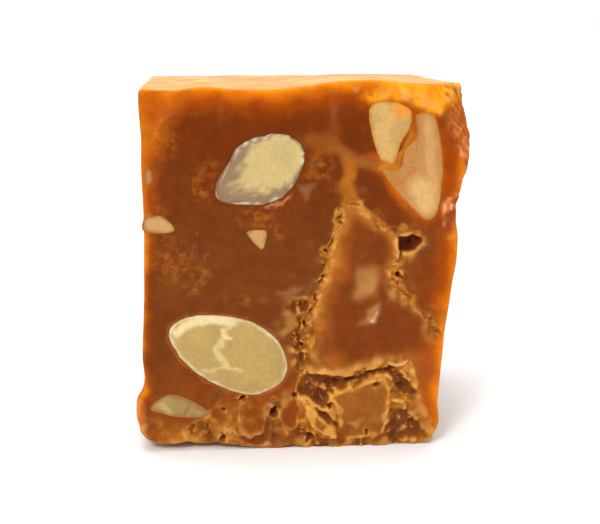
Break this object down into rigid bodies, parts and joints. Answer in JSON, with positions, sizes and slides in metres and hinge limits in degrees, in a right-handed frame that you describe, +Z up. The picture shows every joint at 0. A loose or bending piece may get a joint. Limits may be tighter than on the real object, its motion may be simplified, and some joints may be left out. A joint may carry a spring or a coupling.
{
  "type": "fudge cube",
  "caption": "Knife-cut block of caramel fudge with whole and split almonds set in its faces, cracked and crumbly at the foot.",
  "frame": {"origin": "under the middle of the piece, on the surface it stands on", "axes": "+Z up, -Y out of the front cut face, +X to that face's right"},
  "size_m": [0.0409, 0.03, 0.0458],
  "materials": {
    "fudge": "dense caramel fudge with a faint waxy gloss, translucent and orange at its edges, paler where it crumbles",
    "almond": "cut blanched almond, cream to pale yellow, matt, with a paler frayed rim"
  },
  "bodies": {
    "root": {"fudge": "fudge", "almond_upper": "almond", "almond_lower": "almond", "almond_foot": "almond", "almond_split_left": "almond", "almond_split_right": "almond", "almond_back_upper": "almond", "almond_back_middle": "almond", "almond_back_lower": "almond", "almond_left": "almond", "almond_right": "almond"}
  },
  "joints": []
}
